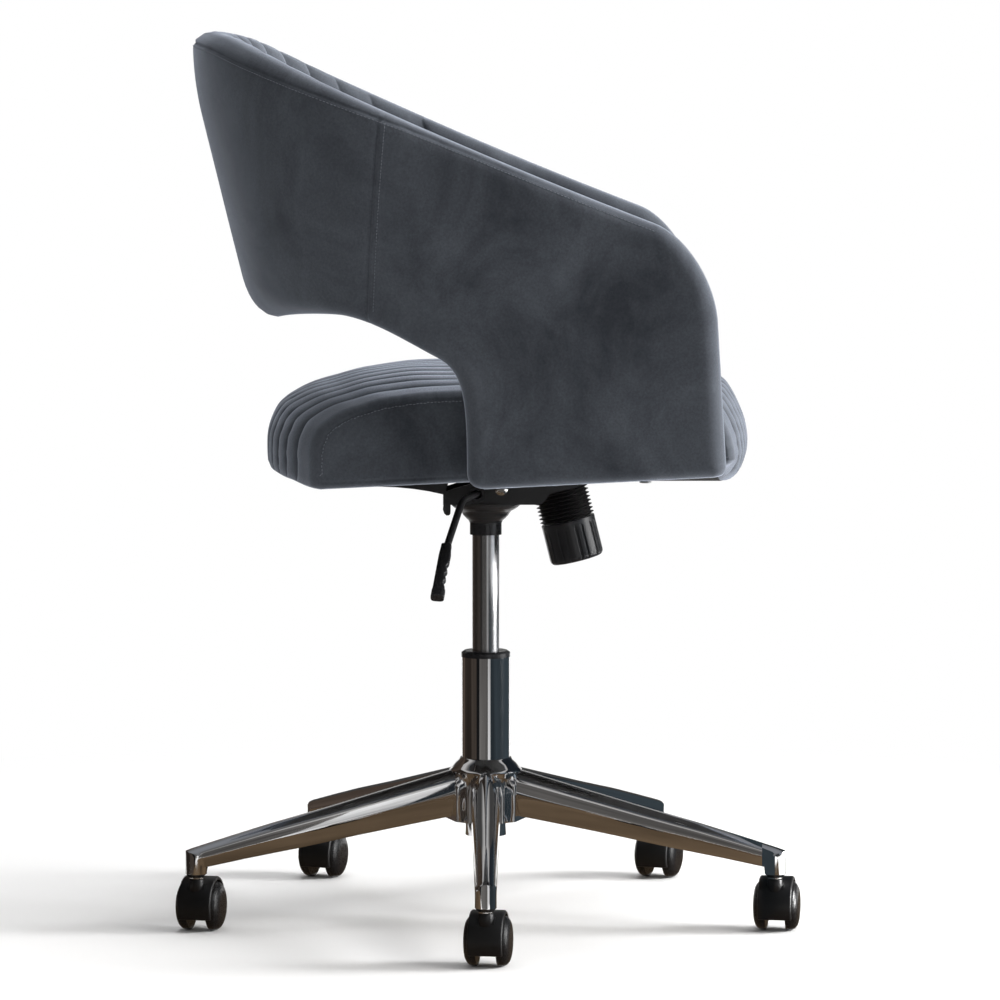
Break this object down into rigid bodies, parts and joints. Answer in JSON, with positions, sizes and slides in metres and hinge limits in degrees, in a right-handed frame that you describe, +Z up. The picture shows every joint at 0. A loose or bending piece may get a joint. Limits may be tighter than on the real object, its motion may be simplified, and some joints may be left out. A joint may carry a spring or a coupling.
{
  "type": "swivel office chair",
  "caption": "Upholstered tub office chair with wrap-round arms, channelled seat and back, tilt mechanism, gas lift and chromed star base on twin-wheel casters.",
  "frame": {"origin": "on the floor, on the axis of the column", "axes": "+Z up, the seat faces -Y, the sitter's right hand is towards -X"},
  "size_m": [0.6232, 0.6433, 0.9215],
  "materials": {
    "chrome": "polished chrome plate",
    "nickel": "bright nickel plate",
    "steel": "plain zinc-plated steel",
    "cylinder_steel": "satin grey-metallic coat on the gas cylinder",
    "black_paint": "semi-matte black powder coat",
    "black_plastic": "moulded black polypropylene",
    "caster_plastic": "moulded black nylon",
    "wheel_plastic": "smooth black nylon tread and dome",
    "black_rubber": "matte black ribbed sleeve",
    "plywood": "raw plywood, hidden",
    "lining": "thin black non-woven cloth",
    "velvet": "charcoal blue-grey velvet with a short pile"
  },
  "bodies": {
    "base": {"base_hub": "chrome", "base_arm_1": "chrome", "base_arm_2": "chrome", "base_arm_3": "chrome", "base_arm_4": "chrome", "base_arm_5": "chrome", "outer_column": "chrome", "guide_bush": "black_plastic", "caster_stems": "nickel"},
    "piston": {"piston_rod": "steel", "thrust_bearing": "steel", "retaining_clip": "nickel"},
    "mechanism": {"gas_cylinder": "cylinder_steel", "mechanism_housing": "black_paint", "mechanism_collar": "black_plastic", "pivot_pins": "nickel", "lever_bush": "black_plastic", "tilt_spring": "steel", "spring_bellows": "black_rubber"},
    "valve": {"valve_button": "steel"},
    "lever": {"lever_rod": "black_paint", "lever_grip": "black_plastic"},
    "seat": {"top_plate": "black_paint", "tension_bolt": "steel", "seat_board": "plywood", "seat_cushion": "velvet", "dust_cover": "lining", "seat_screws": "steel", "seat_tnuts": "steel", "shell_core": "plywood", "outer_back_panel": "velvet", "outer_arm_left": "velvet", "outer_arm_right": "velvet", "inner_back_pad": "velvet", "inner_arm_left": "velvet", "inner_arm_right": "velvet", "arm_bracket_left": "black_paint", "arm_bracket_right": "black_paint", "bracket_bolts": "steel"},
    "knob": {"tension_knob": "black_plastic"},
    "caster_1": {"caster_housing_1": "caster_plastic", "caster_axle_1": "nickel"},
    "wheel_1_left": {"wheel_1_left": "wheel_plastic"},
    "wheel_1_right": {"wheel_1_right": "wheel_plastic"},
    "caster_2": {"caster_housing_2": "caster_plastic", "caster_axle_2": "nickel"},
    "wheel_2_left": {"wheel_2_left": "wheel_plastic"},
    "wheel_2_right": {"wheel_2_right": "wheel_plastic"},
    "caster_3": {"caster_housing_3": "caster_plastic", "caster_axle_3": "nickel"},
    "wheel_3_left": {"wheel_3_left": "wheel_plastic"},
    "wheel_3_right": {"wheel_3_right": "wheel_plastic"},
    "caster_4": {"caster_housing_4": "caster_plastic", "caster_axle_4": "nickel"},
    "wheel_4_left": {"wheel_4_left": "wheel_plastic"},
    "wheel_4_right": {"wheel_4_right": "wheel_plastic"},
    "caster_5": {"caster_housing_5": "caster_plastic", "caster_axle_5": "nickel"},
    "wheel_5_left": {"wheel_5_left": "wheel_plastic"},
    "wheel_5_right": {"wheel_5_right": "wheel_plastic"}
  },
  "joints": [
    {"name": "seat_swivel", "type": "hinge", "parent": "base", "child": "piston", "pos_m": [0, 0, 0.1], "axis": [0, 0, 1], "continuous": true},
    {"name": "gas_lift", "type": "slide", "parent": "piston", "child": "mechanism", "axis": [0, 0, 1], "range_m": [-0.1, 0]},
    {"name": "lever_lift", "type": "hinge", "parent": "mechanism", "child": "lever", "pos_m": [-0.0325, 0.009, 0.446], "axis": [0, 1, 0], "range_deg": [0, 6], "stiffness_Nm_per_rad": 4, "springref_deg": -5.73},
    {"name": "valve_press", "type": "slide", "parent": "mechanism", "child": "valve", "axis": [0, 0, 1], "range_m": [-0.004, 0]},
    {"name": "seat_tilt", "type": "hinge", "parent": "mechanism", "child": "seat", "pos_m": [0, -0.016, 0.452], "axis": [-1, 0, 0], "range_deg": [0, 14], "stiffness_Nm_per_rad": 150, "springref_deg": -17.19, "deforming": ["spring_bellows", "tilt_spring"]},
    {"name": "tension_turn", "type": "hinge", "parent": "seat", "child": "knob", "pos_m": [0, -0.077, 0.449], "axis": [0, 0.2402, 0.9707], "range_deg": [-720, 720]},
    {"name": "caster_turn_1", "type": "hinge", "parent": "base", "child": "caster_1", "pos_m": [-0.312, 0, 0.05], "axis": [0, 0, 1], "continuous": true},
    {"name": "wheel_roll_1_left", "type": "hinge", "parent": "caster_1", "child": "wheel_1_left", "pos_m": [-0.29418, -0.00251, 0.0255], "axis": [0.1392, 0.9903, 0], "continuous": true},
    {"name": "wheel_roll_1_right", "type": "hinge", "parent": "caster_1", "child": "wheel_1_right", "pos_m": [-0.29418, -0.00251, 0.0255], "axis": [0.1392, 0.9903, 0], "continuous": true},
    {"name": "caster_turn_2", "type": "hinge", "parent": "base", "child": "caster_2", "pos_m": [-0.09641, -0.29673, 0.05], "axis": [0, 0, 1], "continuous": true},
    {"name": "wheel_roll_2_left", "type": "hinge", "parent": "caster_2", "child": "wheel_2_left", "pos_m": [-0.07863, -0.29955, 0.0255], "axis": [0.1564, 0.9877, 0], "continuous": true},
    {"name": "wheel_roll_2_right", "type": "hinge", "parent": "caster_2", "child": "wheel_2_right", "pos_m": [-0.07863, -0.29955, 0.0255], "axis": [0.1564, 0.9877, 0], "continuous": true},
    {"name": "caster_turn_3", "type": "hinge", "parent": "base", "child": "caster_3", "pos_m": [0.25241, -0.18339, 0.05], "axis": [0, 0, 1], "continuous": true},
    {"name": "wheel_roll_3_left", "type": "hinge", "parent": "caster_3", "child": "wheel_3_left", "pos_m": [0.26943, -0.18925, 0.0255], "axis": [0.3256, 0.9455, 0], "continuous": true},
    {"name": "wheel_roll_3_right", "type": "hinge", "parent": "caster_3", "child": "wheel_3_right", "pos_m": [0.26943, -0.18925, 0.0255], "axis": [0.3256, 0.9455, 0], "continuous": true},
    {"name": "caster_turn_4", "type": "hinge", "parent": "base", "child": "caster_4", "pos_m": [0.25241, 0.18339, 0.05], "axis": [0, 0, 1], "continuous": true},
    {"name": "wheel_roll_4_left", "type": "hinge", "parent": "caster_4", "child": "wheel_4_left", "pos_m": [0.26943, 0.17753, 0.0255], "axis": [0.3256, 0.9455, 0], "continuous": true},
    {"name": "wheel_roll_4_right", "type": "hinge", "parent": "caster_4", "child": "wheel_4_right", "pos_m": [0.26943, 0.17753, 0.0255], "axis": [0.3256, 0.9455, 0], "continuous": true},
    {"name": "caster_turn_5", "type": "hinge", "parent": "base", "child": "caster_5", "pos_m": [-0.09641, 0.29673, 0.05], "axis": [0, 0, 1], "continuous": true},
    {"name": "wheel_roll_5_left", "type": "hinge", "parent": "caster_5", "child": "wheel_5_left", "pos_m": [-0.07887, 0.29268, 0.0255], "axis": [0.225, 0.9744, 0], "continuous": true},
    {"name": "wheel_roll_5_right", "type": "hinge", "parent": "caster_5", "child": "wheel_5_right", "pos_m": [-0.07887, 0.29268, 0.0255], "axis": [0.225, 0.9744, 0], "continuous": true}
  ],
  "couplings": [
    {"joint": "valve_press", "follows": "lever_lift", "m_per_rad": -0.0325}
  ]
}
